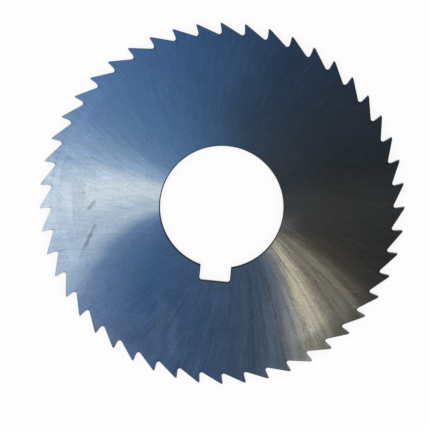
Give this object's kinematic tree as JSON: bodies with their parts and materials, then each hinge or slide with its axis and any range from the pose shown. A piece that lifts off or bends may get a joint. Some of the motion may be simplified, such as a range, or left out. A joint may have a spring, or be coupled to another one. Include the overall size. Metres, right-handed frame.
{
  "type": "slitting saw",
  "caption": "Thin round metal-cutting saw with straight pointed teeth round its rim, hollow-ground sides and a keyed arbor bore.",
  "frame": {"origin": "the arbor axis where it meets the plane that the disc rests on", "axes": "+Z along the arbor axis, -Y from the axis through the middle of the keyway; seen from +Z the cutting faces of the teeth look counterclockwise"},
  "size_m": [0.075, 0.075, 0.0012],
  "materials": {
    "ground_steel": "fine radial grinding marks, bluish under an open sky"
  },
  "bodies": {
    "root": {"saw_blade": "ground_steel"}
  },
  "joints": []
}
